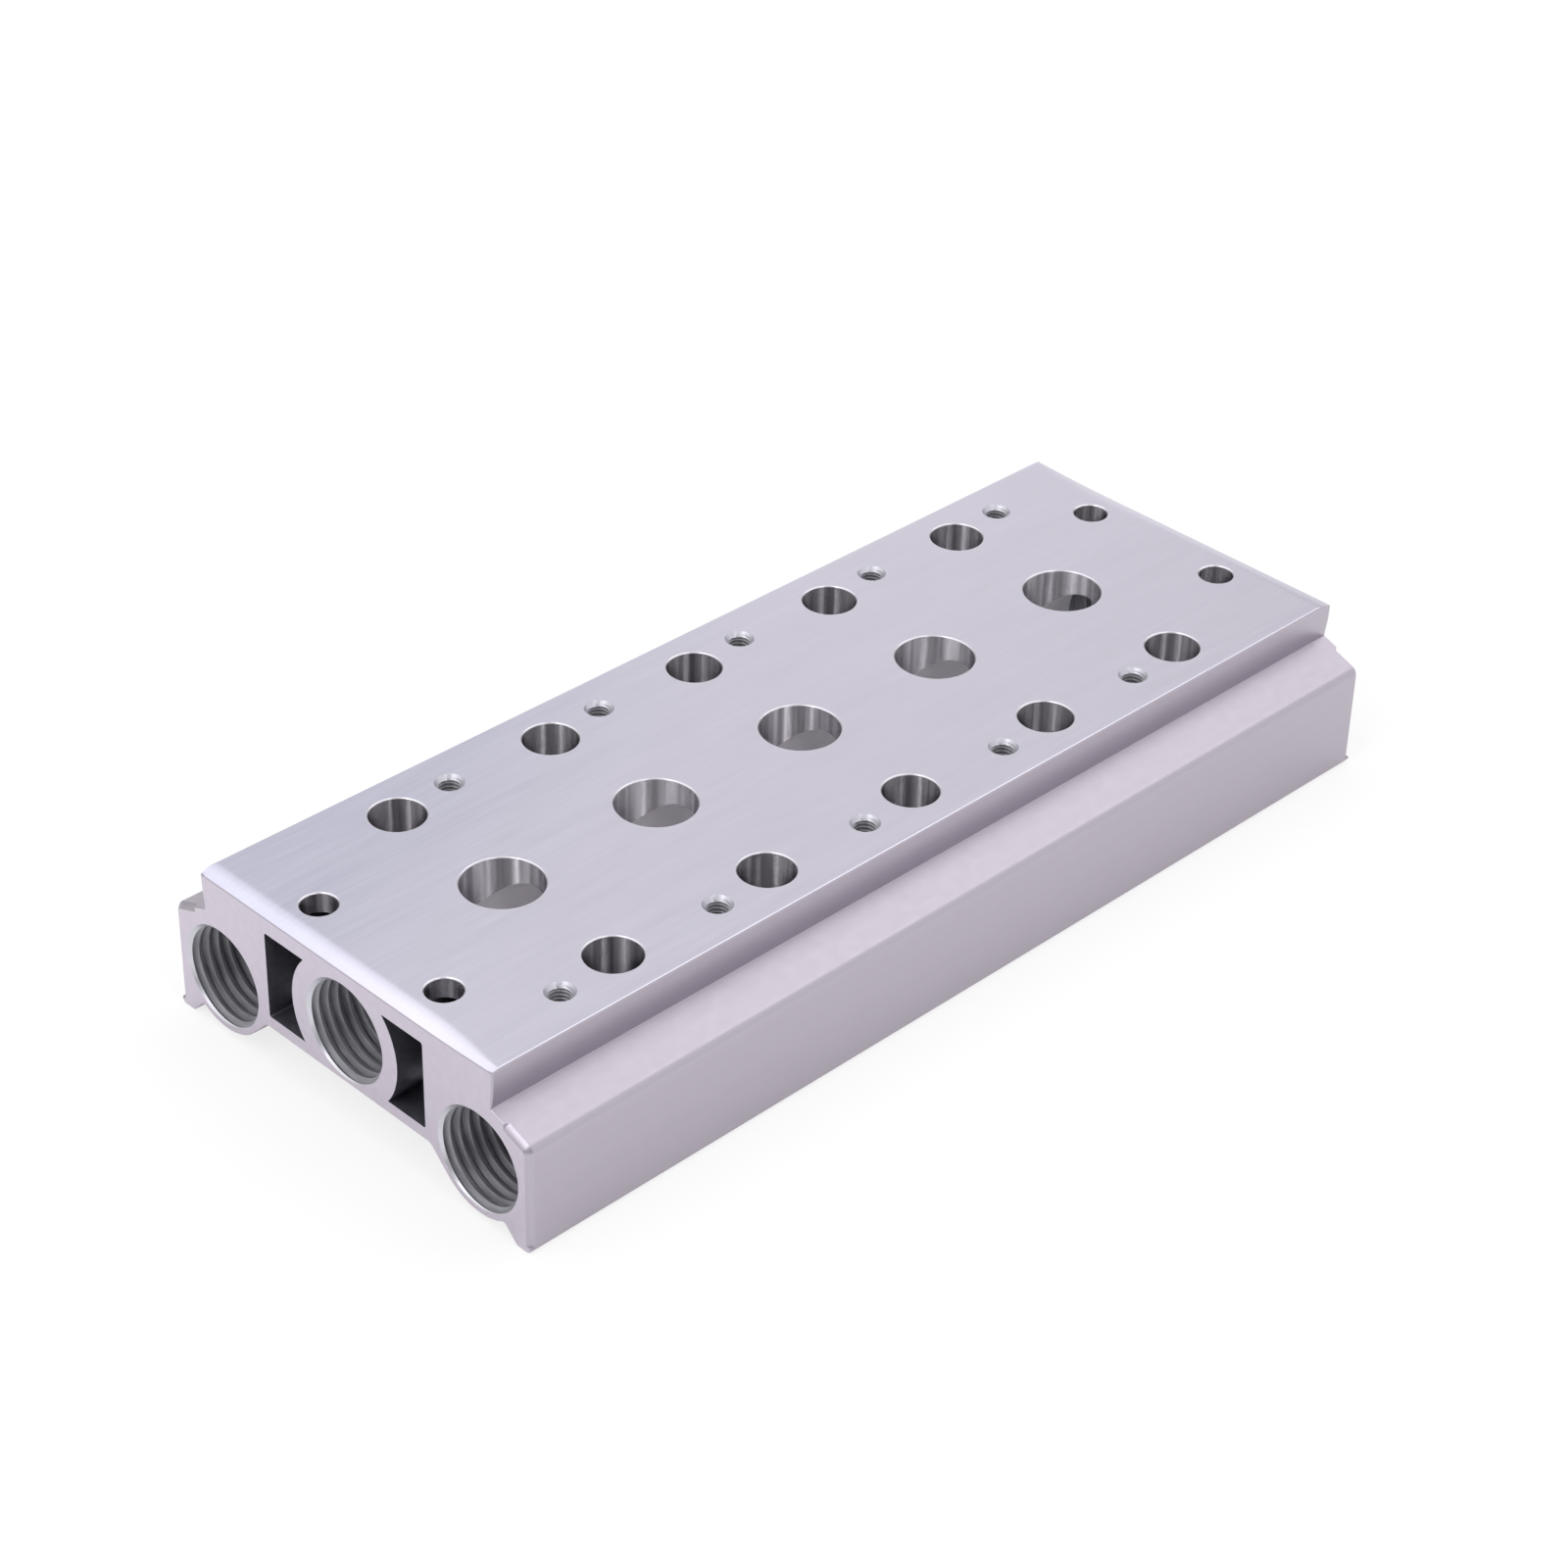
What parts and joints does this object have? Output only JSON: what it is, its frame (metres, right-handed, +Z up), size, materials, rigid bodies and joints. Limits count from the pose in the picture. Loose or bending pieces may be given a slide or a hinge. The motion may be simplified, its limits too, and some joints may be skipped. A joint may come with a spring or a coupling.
{
  "type": "solenoid valve manifold",
  "caption": "Long low aluminium air manifold block: flat drilled valve seat on top, threaded supply and exhaust ports in both ends, hollow extruded section on two feet.",
  "frame": {"origin": "middle of the footprint, on the plane of the two feet", "axes": "+X along the extrusion, +Y across it, +Z up out of the valve seat"},
  "size_m": [0.1376, 0.06, 0.0212],
  "materials": {
    "aluminium": "extruded and machined, satin clear anodised, with brushed ends"
  },
  "bodies": {
    "root": {"manifold_block": "aluminium"}
  },
  "joints": []
}
